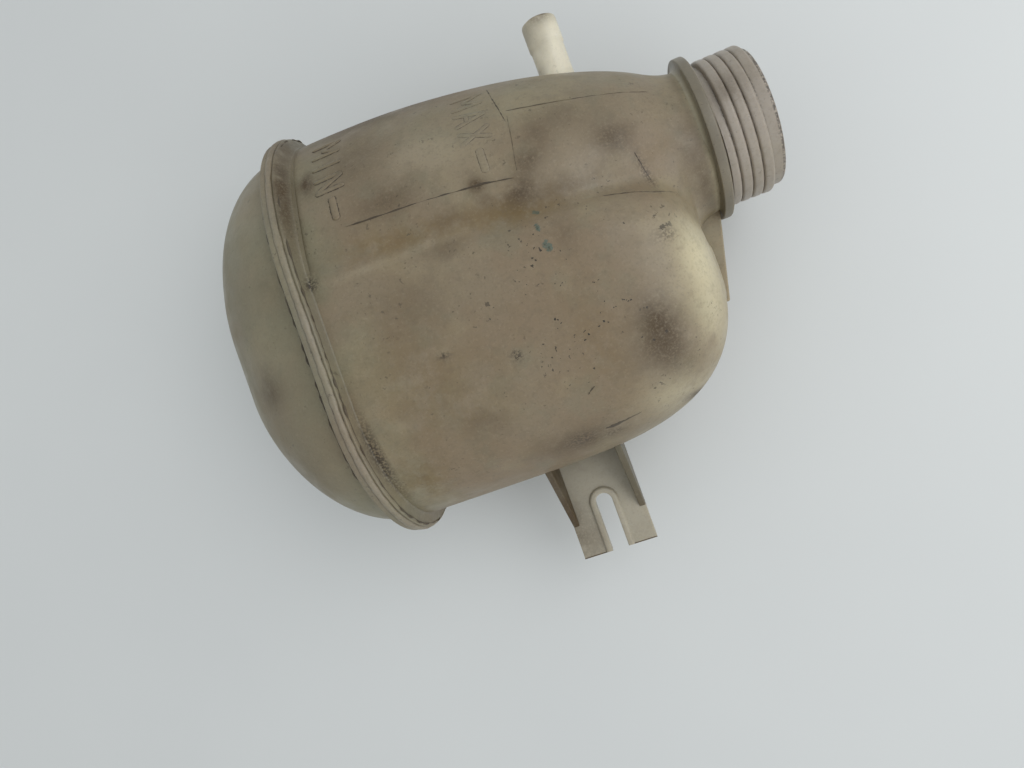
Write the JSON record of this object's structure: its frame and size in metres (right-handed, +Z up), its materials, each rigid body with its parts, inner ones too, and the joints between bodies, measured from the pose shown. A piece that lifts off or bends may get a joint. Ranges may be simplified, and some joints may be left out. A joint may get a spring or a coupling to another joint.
{
  "type": "coolant expansion tank",
  "caption": "Two-lobed welded plastic coolant expansion tank with threaded filler neck, vent hose nipple, lower outlet and slotted fixing bracket.",
  "frame": {"origin": "centre of the bottom of the whole part's box, on the floor that the tank lies on", "axes": "+Z up from the floor; +X along the tank towards the filler neck; -Y towards the fixing bracket"},
  "size_m": [0.2206, 0.1912, 0.1026],
  "materials": {
    "body_polypropylene": "aged translucent natural polypropylene, moulded",
    "cap_polypropylene": "aged translucent natural polypropylene, moulded"
  },
  "bodies": {
    "root": {"tank_body": "body_polypropylene", "end_cap": "cap_polypropylene"}
  },
  "joints": []
}
